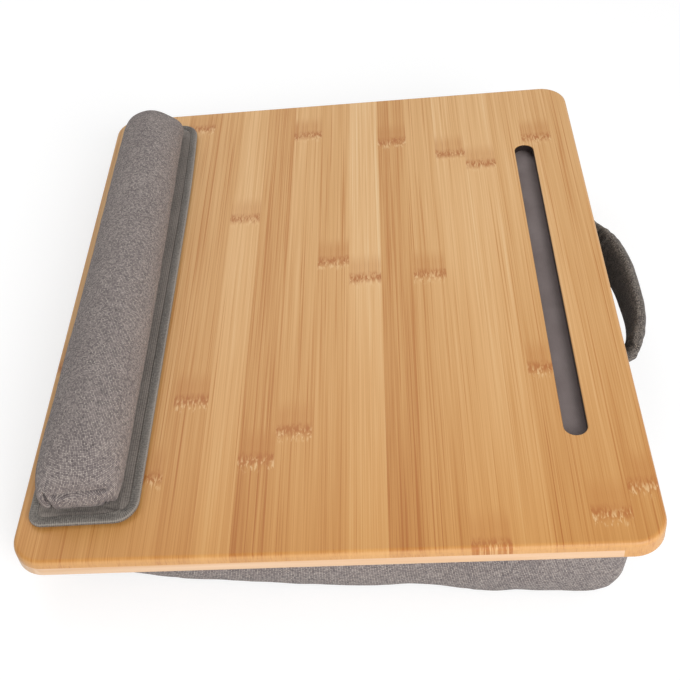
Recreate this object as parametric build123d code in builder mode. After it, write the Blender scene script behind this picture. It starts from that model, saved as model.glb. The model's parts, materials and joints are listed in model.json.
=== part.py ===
"""Lap tray: a bamboo board on a soft wedge cushion, with a wrist rest, a phone slot and a handle.

Millimetres. +X is the user's right, +Y points away from the user, +Z is up. The cushion stands on Z = 0.
"""
import os
from math import asin, cos, degrees, radians, sin, sqrt

from build123d import *

os.makedirs("parts", exist_ok=True)

# Board
board_width = 392.0
board_depth = 330.0
panel_thickness = 5.0
batten_thickness = 6.3
batten_width = 22.5
corner_radius = 17.5
top_round = 2.6
bottom_chamfer = 0.9

# Slot for a phone or tablet
slot_length = 256.0
slot_width = 12.6
slot_back_margin = 29.2  # from the slot's back side to the back edge of the board
slot_round = 0.7

# Cushion
cushion_side_inset = 13.0  # from the left and right edges of the board
cushion_inset = 15.0  # from the front and back edges of the board
cushion_front_height = 27.0  # floor to board underside, were the nose not curved up
cushion_back_height = 63.8
nose_height = 9.0
nose_run = 72.0  # length over which the underside curves up to the nose
nose_sag_share = 0.24  # of the nose's rise, halfway along that run
channel_place_share = 0.675  # of the cushion's depth, from the front
channel_width = 46.0
channel_rise = 3.2
back_round = 17.0
side_round = 9.0
plan_round = 11.0
wall_crown = 1.0
foot_flat = 0.5
cloth = 1.2
baffle_thickness = 1.5
fill_play = 0.2

# Hook and loop tape
tape = 1.2
tape_play = 0.2
board_tape_length = 110.0
board_tape_width = 25.0
board_tape_side_margin = 23.5  # from the side battens to the strips
board_tape_margin = 36.0  # from the front and back battens to the strips

# Seams between cushion, frame and crown
seam_gap = 0.3
crown_side_gap = 1.0
crown_round = 12.0
crown_slope = 45.0  # degrees, from the board's frame in to the padded middle

# Wrist rest
base_side_margin = 20.5  # from the left and right edges of the board
base_width = 58.6
base_thickness = 1.6
base_round = 11.0
base_front_margin = 7.0
wrist_shift = -1.5  # it is stuck on by hand, a little to the left
roll_end_margin = 9.0  # from the ends of the base
roll_side_margin = 7.5  # from the sides of the base to the widest place of the roll
roll_tuck = 4.3  # how far the roll's foot lies in from its widest place
roll_height = 34.0
roll_end_run = 30.0
roll_end_height = 15.0
binding_reach = 5.0
binding_skin = 0.8
binding_play = 0.1
wrist_tape_end_margin = 30.5  # from the ends of the base
wrist_tape_width = 22.0

# Handle
handle_span = 115.0  # between the middles of its two sewn ends
handle_shift = -3.2  # it is sewn on a little to the left
handle_reach = 29.0  # from the hinge line to the middle of the strap
strap_width = 23.5
strap_thickness = 8.5
strap_end_width = 18.0
strap_end_thickness = 3.0
strap_drop = 13.5
strap_lean = 80.0  # degrees that the strap turns from flat: its upper edge leans out a little
handle_stand_off = 3.0  # hinge line behind the cushion
tab_depth = 9.0
tab_play = 0.4
strap_skin = 0.9
strap_edge_share = 0.5  # of the strap's thickness, left at its two edges

overrun = 20.0

# Places worked out from the sizes above
board_thickness = panel_thickness + batten_thickness
cushion_width = board_width - 2 * cushion_side_inset
cushion_depth = board_depth - 2 * cushion_inset
tilt = asin((cushion_back_height - cushion_front_height) / cushion_depth)
cushion_top = board_thickness + seam_gap
cover_top = cushion_top + cloth
hinge_y = board_depth - cushion_inset + handle_stand_off
hinge_z = cover_top + seam_gap + strap_end_thickness / 2
strap_crown = strap_thickness / 2 * (1 - strap_edge_share)
strap_crown_radius = ((strap_width / 2) ** 2 + strap_crown**2) / (2 * strap_crown)
strap_pitch = radians(strap_lean) + tilt
row_back = (hinge_y + handle_reach) * cos(tilt) + (hinge_z + strap_drop) * sin(tilt)
row_back += (strap_thickness / 2 - strap_crown_radius) * sin(strap_pitch) + strap_crown_radius
row_front = top_round * (cos(tilt) + sin(tilt) - 1)
front_z = cushion_front_height + board_thickness * cos(tilt) - cushion_inset * sin(tilt)
board_top = Plane(
    origin=(0, -(row_front + row_back) / 2, front_z),
    x_dir=(1, 0, 0),
    z_dir=(0, -sin(tilt), cos(tilt)),
)
board_up = Axis(board_top.origin, board_top.z_dir)


def on_board(x, y, z):
    """A point given along the board's top face: from its middle, its front edge and its surface."""
    return board_top.from_local_coords(Vector(x, y, z))


def finish(part, name):
    part.label = name
    export_step(part, f"parts/{name}.step")


# Board
# The panel is glued up edge to edge from flat bamboo strips, and the slot is milled through it.
slot_middle = board_depth - slot_back_margin - slot_width / 2

with BuildPart() as top_panel:
    with BuildSketch(board_top.offset(-panel_thickness)):
        with Locations((0, board_depth / 2)):
            RectangleRounded(board_width, board_depth, corner_radius)
        with Locations((0, slot_middle)):
            SlotOverall(slot_length, slot_width, mode=Mode.SUBTRACT)
    extrude(amount=panel_thickness)
    rim = top_panel.faces().sort_by(board_up)[-1].outer_wire().edges()
    fillet(rim, top_round)
    mouth = top_panel.faces().sort_by(board_up)[-1].inner_wires()[0].edges()
    fillet(mouth, slot_round)
finish(top_panel.part, "top_panel")

# Battens
# Four battens frame the underside. The back one runs the full width, so its ends show at the corners.
frame_depth = board_depth - batten_width
side_x = board_width / 2 - batten_width / 2
batten_boxes = {
    "batten_back": (0, board_depth - batten_width / 2, board_width, batten_width),
    "batten_left": (-side_x, frame_depth / 2, batten_width, frame_depth),
    "batten_right": (side_x, frame_depth / 2, batten_width, frame_depth),
    "batten_front": (0, batten_width / 2, board_width - 2 * batten_width, batten_width),
}

for name, (x, y, length_x, length_y) in batten_boxes.items():
    with BuildPart() as batten:
        with BuildSketch(board_top.offset(-board_thickness)):
            with Locations((0, board_depth / 2)):
                RectangleRounded(board_width, board_depth, corner_radius)
        extrude(amount=batten_thickness)
        lower_rim = batten.faces().sort_by(board_up)[0].edges()
        chamfer(lower_rim, bottom_chamfer)
        with BuildSketch(board_top.offset(-board_thickness)):
            with Locations((x, y)):
                Rectangle(length_x, length_y)
        extrude(amount=batten_thickness, mode=Mode.INTERSECT)
    finish(batten.part, name)

# Tape under the board
# Hook strips are stuck under the panel and loop strips are sewn on the cushion's top cloth.
tape_y = frame_depth / 2 + batten_width / 2
tape_spacing_x = board_width - 2 * (batten_width + board_tape_side_margin) - board_tape_length
tape_spacing_y = frame_depth - batten_width - 2 * board_tape_margin - board_tape_width
tape_stack = 2 * tape + tape_play

for name, level in (("tray_hook_strips", tape), ("cushion_loop_strips", tape_stack)):
    with BuildPart() as strips:
        with BuildSketch(board_top.offset(-panel_thickness - level)):
            with Locations((0, tape_y)):
                with GridLocations(tape_spacing_x, tape_spacing_y, 2, 2):
                    RectangleRounded(board_tape_length, board_tape_width, tape)
        extrude(amount=tape)
    finish(strips.part, name)

# Cushion
# Sections across the wedge are drawn in planes that face +X, where local x is Y and local y is Z.
side_station_shares = (0.0, 0.1, 0.3, 0.62, 1.0)
nose_round = nose_height / 2


def rounding(radius, inset):
    """How far a round of this radius stands off its flat, at this distance in from its side."""
    if inset >= radius:
        return 0
    return radius - sqrt(radius**2 - (radius - inset) ** 2)


def wedge_section(x, skin, top):
    """The wedge's outline at x, drawn in by skin all round and ending at top under the board's face."""
    half = cushion_width / 2 - skin
    inset = half - abs(x)
    rise = skin + rounding(side_round - skin, inset)
    draw = skin + rounding(plan_round - skin, inset)
    front = cushion_inset + draw
    back = board_depth - cushion_inset - draw
    mouth_front = on_board(0, front, -top)
    mouth_back = on_board(0, back, -top)
    nose = on_board(0, front, -cover_top - nose_round)
    chin = on_board(0, front + nose_round, -cover_top - nose_height)
    heel_top = on_board(0, back, (back_round - front_z - back * sin(tilt)) / cos(tilt))
    wall_middle = (mouth_back + heel_top) / 2 + (on_board(0, wall_crown, 0) - on_board(0, 0, 0))
    floor = rise - foot_flat
    channel = on_board(0, cushion_inset + cushion_depth * channel_place_share, 0).Y
    front_foot = chin.Y + nose_run
    heel_foot = heel_top.Y - back_round
    lobe_drop = foot_flat / 2
    lip = channel_rise / 4
    nose_bow = nose_round * sin(radians(45))

    plane = Plane(origin=(x, 0, 0), x_dir=(0, 1, 0), z_dir=(1, 0, 0))
    with BuildSketch(plane) as section:
        with BuildLine():
            front_lip = (channel - channel_width / 2, floor + lip)
            back_lip = (channel + channel_width / 2, floor + lip)
            low_front = (front_foot, floor + lobe_drop)
            Line((mouth_front.Y, mouth_front.Z), (nose.Y, nose.Z))
            ThreePointArc(
                (nose.Y, nose.Z),
                (nose.Y + nose_round - nose_bow, chin.Z + nose_round - nose_bow + skin / 2),
                (chin.Y, chin.Z + skin),
            )
            ThreePointArc(
                (chin.Y, chin.Z + skin),
                ((chin.Y + front_foot) / 2, floor + (chin.Z + skin - floor) * nose_sag_share),
                low_front,
            )
            ThreePointArc(low_front, ((low_front[0] + front_lip[0]) / 2, floor), front_lip)
            ThreePointArc(front_lip, (channel, floor + channel_rise), back_lip)
            ThreePointArc(
                back_lip,
                ((back_lip[0] + heel_foot) / 2, floor),
                (heel_foot, floor + lobe_drop),
            )
            ThreePointArc(
                (heel_foot, floor + lobe_drop),
                (
                    heel_foot + (heel_top.Y - heel_foot) * sin(radians(45)),
                    heel_top.Z - (heel_top.Z - floor - lobe_drop) * cos(radians(45)),
                ),
                (heel_top.Y, heel_top.Z),
            )
            ThreePointArc(
                (heel_top.Y, heel_top.Z),
                (wall_middle.Y, wall_middle.Z),
                (mouth_back.Y, mouth_back.Z),
            )
            Line((mouth_back.Y, mouth_back.Z), (mouth_front.Y, mouth_front.Z))
        make_face()
    return section.sketch


def wedge_stations(skin):
    """Places along X of the sections, close together where the sides turn under."""
    half = cushion_width / 2 - skin
    outer = [half - share * side_round for share in side_station_shares]
    inner = [half - 2 * side_round, half / 2]
    right = outer + inner
    return right + [0] + [-x for x in reversed(right)]


def wedge_sections(skin, top):
    return [wedge_section(x, skin, top) for x in wedge_stations(skin)]


def floor_cut(level):
    """Takes off what lies under level."""
    with Locations((0, 0, level - overrun / 2)):
        Box(2 * board_width, 2 * board_depth, overrun, mode=Mode.SUBTRACT)


# The seam leaves an opening for each end of the handle.
with BuildSketch(board_top.offset(-hinge_z - strap_end_thickness / 2 - fill_play)) as tab_openings:
    with Locations((handle_shift, hinge_y - tab_depth / 2)):
        with GridLocations(handle_span, 0, 2, 1):
            Rectangle(strap_end_width + 2 * fill_play, tab_depth + 2 * handle_stand_off)

with BuildPart() as cushion_cover:
    loft(sections=wedge_sections(0, cover_top), ruled=True)
    floor_cut(0)
    loft(sections=wedge_sections(cloth, cover_top - overrun / 2), ruled=True, mode=Mode.SUBTRACT)
    extrude(tab_openings.sketch, amount=strap_end_thickness + overrun, mode=Mode.SUBTRACT)
finish(cushion_cover.part, "cushion_cover")

# Filling
# The channel in the underside is sewn to a cloth baffle, which parts the two chambers of filling.
baffle_y = cushion_inset + cushion_depth * channel_place_share
baffle_plane = Plane(
    origin=on_board(0, baffle_y, 0), x_dir=(1, 0, 0), z_dir=(0, cos(tilt), sin(tilt))
)

with BuildPart() as filling:
    loft(sections=wedge_sections(cloth + fill_play, cover_top + fill_play), ruled=True)
    floor_cut(cloth)

with BuildPart() as cushion_fill_front:
    add(filling.part)
    split(bisect_by=baffle_plane.offset(-baffle_thickness / 2 - fill_play), keep=Keep.BOTTOM)
finish(cushion_fill_front.part, "cushion_fill_front")

with BuildPart() as cushion_fill_back:
    add(filling.part)
    split(bisect_by=baffle_plane.offset(baffle_thickness / 2 + fill_play), keep=Keep.TOP)
    extrude(tab_openings.sketch, amount=strap_end_thickness + overrun, mode=Mode.SUBTRACT)
finish(cushion_fill_back.part, "cushion_fill_back")

with BuildPart() as cushion_baffle:
    add(filling.part)
    split(bisect_by=baffle_plane.offset(-baffle_thickness / 2), keep=Keep.TOP)
    split(bisect_by=baffle_plane.offset(baffle_thickness / 2), keep=Keep.BOTTOM)
finish(cushion_baffle.part, "cushion_baffle")

# Top cloth
# Its middle is padded and swells up into the frame of the board, so it shows as the slot's floor.
crown_rise = cushion_top - panel_thickness - tape_stack
crown_width = board_width - 2 * batten_width - 2 * crown_side_gap
crown_depth = frame_depth - batten_width - 2 * crown_side_gap

with BuildPart() as cushion_top_panel:
    with BuildSketch(board_top.offset(-cover_top)):
        with Locations((0, board_depth / 2)):
            RectangleRounded(cushion_width, cushion_depth, plan_round)
    extrude(amount=cloth)
    with BuildSketch(board_top.offset(-cushion_top)):
        with Locations((0, tape_y)):
            RectangleRounded(crown_width, crown_depth, crown_round)
    extrude(amount=crown_rise, taper=crown_slope)
finish(cushion_top_panel.part, "cushion_top_panel")

# Handle tabs
# Each end of the handle comes out of the seam under the top cloth as a flat sewn tongue.
for name, side in (("handle_tab_left", -1), ("handle_tab_right", 1)):
    with BuildPart() as tab:
        with BuildSketch(board_top.offset(-hinge_z - strap_end_thickness / 2)):
            tab_end = hinge_y - strap_end_thickness / 2 - tab_play
            with Locations((handle_shift + side * handle_span / 2, tab_end - tab_depth / 2)):
                Rectangle(strap_end_width, tab_depth)
        extrude(amount=strap_end_thickness)
    finish(tab.part, name)

# Handle
# The strap leaves the seam flat, drops and turns on edge, and runs round a D-shaped loop. Its padding
# crowns both faces between the two edges.
loop_power_share = 0.724  # under 1, which squares the loop's ends
drop_run_share = 0.4  # of the way from an end to the middle, in which the strap drops
turn_run_share = 0.55
swell_run_share = 0.55
strap_steps = 12  # sections from an end to the middle
unpadded_steps = 2  # sections at each end that hold no padding
tangent_share = 0.5  # of a step, each way, over which the loop's direction is taken


def ease(share):
    """A smooth step from 0 to 1."""
    share = min(share, 1)
    return share**2 * (3 - 2 * share)


def strap_point(step, drop):
    """The middle of the strap at this step along the loop's right half, in the board's directions."""
    angle = radians(90 * step / strap_steps)
    across = cos(angle) ** loop_power_share if step < strap_steps else 0
    along = sin(angle) ** loop_power_share
    return Vector(handle_span / 2 * across, hinge_y + handle_reach * along, -hinge_z - drop)


def strap_section(step, side, skin):
    """The strap's crowned cross-section at this step of its right (1) or left (-1) half."""
    share = step / strap_steps
    drop = strap_drop * ease(share / drop_run_share)
    turn = radians(strap_lean * ease(share / turn_run_share))
    swell = sin(radians(90 * min(share / swell_run_share, 1)))
    half_width = (strap_end_width + (strap_width - strap_end_width) * swell) / 2 - skin
    half_thick = (strap_end_thickness + (strap_thickness - strap_end_thickness) * swell) / 2 - skin
    edge = half_thick * strap_edge_share
    middle = strap_point(step, drop)
    if step == 0:
        along = Vector(0, 1, 0)
    elif step == strap_steps:
        along = Vector(-1, 0, 0)
    else:
        along = strap_point(step + tangent_share, drop) - strap_point(step - tangent_share, drop)
        along = along.normalized()
    outward = along.cross(Vector(0, 0, 1)).normalized()
    wide = outward * cos(turn) + along.cross(outward) * -sin(turn)
    if side < 0:
        middle = Vector(-middle.X, middle.Y, middle.Z)
        along = Vector(along.X, -along.Y, -along.Z)
        wide = Vector(-wide.X, wide.Y, wide.Z)
    middle += Vector(handle_shift, 0, 0)
    to_row = board_top.from_local_coords
    zero = to_row(Vector(0, 0, 0))
    plane = Plane(
        origin=to_row(middle), x_dir=to_row(wide) - zero, z_dir=to_row(along) - zero
    )
    with BuildSketch(plane) as section:
        with BuildLine():
            ThreePointArc((half_width, edge), (0, half_thick), (-half_width, edge))
            Line((-half_width, edge), (-half_width, -edge))
            ThreePointArc((-half_width, -edge), (0, -half_thick), (half_width, -edge))
            Line((half_width, -edge), (half_width, edge))
        make_face()
    return section.sketch


def strap_sections(first, skin):
    right = [strap_section(step, 1, skin) for step in range(first, strap_steps + 1)]
    left = [strap_section(step, -1, skin) for step in range(strap_steps - 1, first - 1, -1)]
    return right + left


with BuildPart() as handle_cover:
    loft(sections=strap_sections(0, 0), ruled=True)
    loft(sections=strap_sections(unpadded_steps, strap_skin), ruled=True, mode=Mode.SUBTRACT)
    for side in (-1, 1):
        knuckle = Plane(
            origin=on_board(handle_shift + side * handle_span / 2, hinge_y, -hinge_z),
            x_dir=(0, 1, 0),
            z_dir=(1, 0, 0),
        )
        with BuildSketch(knuckle.offset(-strap_end_width / 2)):
            Circle(strap_end_thickness / 2)
        extrude(amount=strap_end_width)
finish(handle_cover.part, "handle_cover")

with BuildPart() as handle_core:
    loft(sections=strap_sections(unpadded_steps, strap_skin + fill_play), ruled=True)
finish(handle_core.part, "handle_core")

# Wrist rest
# The base is a flat cloth-covered sheet on hook and loop tape. It peels off the board with the roll.
base_low = tape_stack
base_high = base_low + base_thickness
base_length = board_width - 2 * base_side_margin
wrist_y = base_front_margin + base_width / 2
wrist_tape_length = base_length - 2 * wrist_tape_end_margin

for name, level in (("wrist_hook_strip", 0), ("wrist_loop_strip", tape + tape_play)):
    with BuildPart() as strip:
        with BuildSketch(board_top.offset(level)):
            with Locations((wrist_shift, wrist_y)):
                RectangleRounded(wrist_tape_length, wrist_tape_width, tape)
        extrude(amount=tape)
    finish(strip.part, name)

with BuildPart() as wrist_base:
    with BuildSketch(board_top.offset(base_low)):
        with Locations((wrist_shift, wrist_y)):
            RectangleRounded(
                base_length - 2 * binding_skin,
                base_width - 2 * binding_skin,
                base_round - binding_skin,
            )
    extrude(amount=base_thickness)
finish(wrist_base.part, "wrist_base")

# Binding
# A ribbed tape is folded over the base's edge all round, above and below it.
groove = base_thickness + 2 * binding_play

with BuildPart() as wrist_binding:
    with BuildSketch(board_top.offset(base_low - binding_play - binding_skin)):
        with Locations((wrist_shift, wrist_y)):
            RectangleRounded(base_length, base_width, base_round)
            RectangleRounded(
                base_length - 2 * binding_reach,
                base_width - 2 * binding_reach,
                base_round - binding_reach,
                mode=Mode.SUBTRACT,
            )
    extrude(amount=groove + 2 * binding_skin)
    outer_rims = wrist_binding.faces().sort_by(board_up)
    fillet(outer_rims[-1].outer_wire().edges(), binding_skin)
    fillet(wrist_binding.faces().sort_by(board_up)[0].outer_wire().edges(), binding_skin)
    with BuildSketch(board_top.offset(base_low - binding_play)):
        with Locations((wrist_shift, wrist_y)):
            RectangleRounded(
                base_length - 2 * binding_skin + 2 * binding_play,
                base_width - 2 * binding_skin + 2 * binding_play,
                base_round - binding_skin + binding_play,
            )
    extrude(amount=groove, mode=Mode.SUBTRACT)
finish(wrist_binding.part, "wrist_binding")

# Roll
# The roll is a D-shaped foam bar in a cloth cover. Its ends round down to a folded end face.
end_steps = 6  # sections in each rounded end
girth_share = 0.42  # height of the widest place
roll_length = base_length - 2 * roll_end_margin
roll_width = base_width - 2 * roll_side_margin
roll_foot_width = roll_width - 2 * roll_tuck


def roll_section(x, skin, foot):
    """The D-shaped section at x along the roll, drawn in by skin, standing at foot above the base."""
    half = roll_length / 2 - skin
    inset = half - abs(x)
    run = min(inset / roll_end_run, 1)
    bulge = sqrt(1 - (1 - run) ** 2)
    height = roll_end_height + (roll_height - roll_end_height) * bulge - skin
    waist = (roll_foot_width + (roll_width - roll_foot_width) * bulge) / 2 - skin
    sole = roll_foot_width / 2 - skin
    plane = Plane(
        origin=on_board(x + wrist_shift, wrist_y, base_high),
        x_dir=(0, cos(tilt), sin(tilt)),
        z_dir=(1, 0, 0),
    )
    girth = height * girth_share
    shoulder = (waist * cos(radians(45)), girth + (height - girth) * sin(radians(45)))
    with BuildSketch(plane) as section:
        with BuildLine():
            Line((-sole, foot), (sole, foot))
            ThreePointArc((sole, foot), ((sole + waist) / 2 + cloth / 2, girth / 2), (waist, girth))
            ThreePointArc((waist, girth), shoulder, (0, height))
            ThreePointArc((0, height), (-shoulder[0], shoulder[1]), (-waist, girth))
            ThreePointArc(
                (-waist, girth), (-(sole + waist) / 2 - cloth / 2, girth / 2), (-sole, foot)
            )
        make_face()
    return section.sketch


def roll_sections(skin, foot):
    half = roll_length / 2 - skin
    turns = [radians(90 * step / end_steps) for step in range(end_steps + 1)]
    right = [half - roll_end_run * (1 - cos(turn)) for turn in turns]
    return [roll_section(x, skin, foot) for x in right + [-x for x in reversed(right)]]


with BuildPart() as wrist_cover:
    loft(sections=roll_sections(0, 0), ruled=True)
    loft(sections=roll_sections(cloth, 0), ruled=True, mode=Mode.SUBTRACT)
finish(wrist_cover.part, "wrist_cover")

with BuildPart() as wrist_foam:
    loft(sections=roll_sections(cloth + fill_play, fill_play), ruled=True)
finish(wrist_foam.part, "wrist_foam")

print(f"tilt {degrees(tilt):.2f} degrees, front to back {row_back - row_front:.1f} mm")
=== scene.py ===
import json
from functools import partial
from math import ceil, cos, exp, hypot, pi, sin, sqrt

import bmesh
import bpy
from mathutils import Matrix, Vector, noise


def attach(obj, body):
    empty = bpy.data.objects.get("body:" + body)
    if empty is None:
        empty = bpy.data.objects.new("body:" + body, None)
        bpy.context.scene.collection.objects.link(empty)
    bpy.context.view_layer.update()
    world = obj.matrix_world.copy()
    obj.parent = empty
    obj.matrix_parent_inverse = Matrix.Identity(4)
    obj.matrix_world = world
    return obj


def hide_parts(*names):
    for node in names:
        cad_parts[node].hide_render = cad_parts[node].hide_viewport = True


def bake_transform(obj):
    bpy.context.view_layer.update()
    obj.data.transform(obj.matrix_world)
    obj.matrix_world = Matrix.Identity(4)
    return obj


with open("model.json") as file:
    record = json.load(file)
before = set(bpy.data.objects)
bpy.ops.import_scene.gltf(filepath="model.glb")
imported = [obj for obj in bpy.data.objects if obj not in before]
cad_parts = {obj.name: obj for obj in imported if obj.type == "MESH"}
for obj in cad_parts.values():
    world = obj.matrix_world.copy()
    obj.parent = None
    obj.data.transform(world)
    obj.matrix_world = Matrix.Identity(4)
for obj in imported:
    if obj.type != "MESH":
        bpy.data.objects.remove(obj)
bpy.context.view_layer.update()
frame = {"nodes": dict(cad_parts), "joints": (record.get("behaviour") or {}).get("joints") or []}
nodes = frame["nodes"]
joints = {joint["name"]: joint for joint in frame["joints"]}

# Bamboo panel
# The board is one panel of flat bamboo strips, glued edge to edge, sanded and lacquered satin.
# It lies 7 degrees from level, so places on it are given in its own directions, in millimetres.
mm = 0.001
up = Vector(joints["tray_lift"]["axis"])
back = Vector((0, up.z, -up.y))
panel_points = [v.co for v in nodes["top_panel"].data.vertices]
top_level = max(p.dot(up) for p in panel_points)
front_edge = min(p.dot(back) for p in panel_points)
right_edge = max(p.x for p in panel_points) / mm
back_edge = (max(p.dot(back) for p in panel_points) - front_edge) / mm
board_corner = up * top_level + back * front_edge
board_turn = Matrix((Vector((1, 0, 0)), back, up))


def on_board(x, y, z):
    """A place in metres, from its distances to the board's middle, front edge and top face."""
    return board_corner + Vector((x * mm, 0, 0)) + back * (y * mm) + up * (z * mm)


def from_board(point):
    """The same distances, in millimetres, of a place in metres."""
    offset = (point - board_corner) / mm
    return Vector((offset.x, offset.dot(back), offset.dot(up)))


def linear(code):
    """The linear colour of an sRGB hex code."""
    shares = [int(code[i : i + 2], 16) / 255 for i in (1, 3, 5)]
    return [s / 12.92 if s <= 0.04045 else ((s + 0.055) / 1.055) ** 2.4 for s in shares] + [1]


def add_node(tree, kind, inputs, **settings):
    """Adds a shader node. An input takes a value, a socket, or a node, which gives its first output."""
    node = tree.nodes.new("ShaderNode" + kind)
    for name, value in settings.items():
        setattr(node, name, value)
    for key, value in inputs.items():
        if isinstance(value, bpy.types.Node):
            value = value.outputs[0]
        if isinstance(value, bpy.types.NodeSocket):
            tree.links.new(value, node.inputs[key])
        else:
            node.inputs[key].default_value = value
    return node


def set_stops(ramp, first, last, *between):
    """Colours a ramp: the place and sRGB code of its two ends, then of the stops between them."""
    stops = ramp.color_ramp.elements
    for number, (position, code) in enumerate((first, last)):
        stops[number].position, stops[number].color = position, linear(code)
    for position, code in between:
        stops.new(position).color = linear(code)


def new_material(name):
    """An empty material, and the function that adds nodes to it."""
    material = bpy.data.materials.new(name)
    material.use_nodes = True
    material.node_tree.nodes.clear()
    return material, partial(add_node, material.node_tree)


def board_millimetres(add):
    """The shaded place, in the board's own directions, in millimetres."""
    return add("Mapping", {
        "Vector": add("TexCoord", {}).outputs["Object"],
        "Location": -(board_turn @ board_corner) / mm,
        "Rotation": board_turn.to_euler(),
        "Scale": (1 / mm, 1 / mm, 1 / mm),
    })


strip_width = 19.93
strip_start = -4.7  # the first strip is sawn off along the front edge
strip_shift = 900  # how far the grain of one strip may lie from the next one's
# The width and length of each mark of the grain.
fibre_size, vein_size, streak_size, cloud_size = (0.8, 150.0), (1.0, 220.0), (2.6, 190.0), (9.0, 420.0)
thickness_share = 6  # marks reach this many widths through the strip's thickness
relief_depth = 0.05
# One tone and up to two knuckles for each strip, from the front to the back.
strip_tones = (
    0.50, 0.44, 0.50, 0.46, 0.36, 0.64, 0.28, 0.50, 0.44, 0.72, 0.24, 0.46, 0.62, 0.66, 0.48, 0.50, 0.42,
)
first_knuckles = (60, -120, -30, -176, 91, -68, 135, -158, -20, -3, -143, -3, -124, -110, 79, -136, 161)
second_knuckles = (400, 400, 400, 144, 400, 400, 400, 116, 400, 400, 400, 400, 194, 400, 400, 177, 400)
knuckle_reach = 400  # off the board, for a strip with one knuckle
knuckle_wander = 6  # their edges are ragged by about half of this
# A knuckle is a brown smear with pale dashes on its right and dark flames on its left: middle, half length.
smear_band, dash_band, flame_band = (0.0, 6.5), (4.0, 6.5), (-8.0, 17.0)
# The slot, whose walls are coloured dark brown below a thin clean edge.
slot_half_x, slot_half_y, slot_back_margin = 128.0, 6.3, 29.2
slot_middle = back_edge - slot_back_margin - slot_half_y
dark_wall_depth, dark_wall_fade, dark_wall_spread = 0.9, 0.6, 0.3


def strip_list(add, strip, values):
    """The value that the list holds for the strip at hand."""
    steps = add("Math", {0: strip, 1: len(values)}, operation="DIVIDE")
    ramp = add("ValToRGB", {"Fac": steps})
    ramp.color_ramp.interpolation = "CONSTANT"
    stops = ramp.color_ramp.elements
    while len(stops) < len(values):
        stops.new(1)
    for number, value in enumerate(values):
        stops[number].position = max((number - 0.5) / len(values), 0)
        stops[number].color = (value, value, value, 1)
    return ramp


def grain(add, x, y, z, size):
    """Noise that is drawn out along the strip, and a little through its thickness."""
    width, length = size
    across = add("Math", {0: y, 1: width}, operation="DIVIDE")
    through = add("Math", {0: z, 1: thickness_share * width}, operation="DIVIDE")
    along = add("Math", {0: x, 1: length}, operation="DIVIDE")
    place = add("CombineXYZ", {0: along, 1: across, 2: through})
    return add("TexNoise", {"Vector": place, "Scale": 1, "Detail": 3, "Roughness": 0.6})


def finish_surface(add, colour, height, strength, depth, looks):
    """Ends a material with its relief, depth millimetres deep, and the way it takes light."""
    relief = add("Bump", {"Strength": strength, "Distance": depth * mm, "Height": height})
    shader = add("BsdfPrincipled", {"Base Color": colour, "Normal": relief, **looks})
    add("OutputMaterial", {"Surface": shader})


# Flat bamboo under satin lacquer: each strip has a tone of its own, with fine brown fibres along it.
bamboo, add = new_material("bamboo_flat_strips")
split = add("SeparateXYZ", {0: board_millimetres(add)})
along_x, across_y, through_z = split.outputs
from_start = add("Math", {0: across_y, 1: strip_start}, operation="SUBTRACT")
strips = add("Math", {0: from_start, 1: strip_width}, operation="DIVIDE")
strip = add("Math", {0: strips}, operation="FLOOR")
chance = add("TexWhiteNoise", {"W": strip}, noise_dimensions="1D")
shifted_x = add("Math", {0: chance, 1: strip_shift, 2: along_x}, operation="MULTIPLY_ADD")
fibres, veins, streaks, clouds = [
    grain(add, shifted_x, across_y, through_z, size)
    for size in (fibre_size, vein_size, streak_size, cloud_size)
]
tone = strip_list(add, strip, strip_tones)
for layer, amount in ((fibres, 1.0), (streaks, 0.65), (clouds, 0.6)):
    step = add("Math", {0: layer, 1: 0.5}, operation="SUBTRACT")
    tone = add("Math", {0: step, 1: amount, 2: tone}, operation="MULTIPLY_ADD")
smooth = {"interpolation_type": "SMOOTHSTEP"}
vein_lines = add("MapRange", {0: veins, 1: 0.52, 2: 0.68, 3: 0, 4: -0.38}, **smooth)
tone = add("Math", {0: vein_lines, 1: tone}, operation="ADD")
wood = add("ValToRGB", {"Fac": tone})
set_stops(wood, (0.0, "#BC8045"), (1.0, "#E9C696"), (0.3, "#D09E64"), (0.5, "#D8A971"), (0.7, "#E0B37D"))
# Painted sheen: the cane is darker and more golden towards the board's right end, so the other end looks
# paler.
painted_sheen = add("MapRange", {0: along_x, 1: -right_edge, 2: right_edge, 3: 0, 4: 1})
painted_sheen = add("Math", {0: painted_sheen, 1: 2.5}, operation="POWER")
wood = add("MixRGB", {"Fac": painted_sheen, "Color1": wood, "Color2": (0.8, 0.65, 0.42, 1)}, blend_type="MULTIPLY")

# The sawn edges are paler than the sanded face.
sawn = add("MapRange", {0: through_z, 1: -0.4, 2: -1.2, 3: 0, 4: 0.4})
wood = add("MixRGB", {"Fac": sawn, "Color1": wood, "Color2": linear("#E2B37E")})

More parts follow.
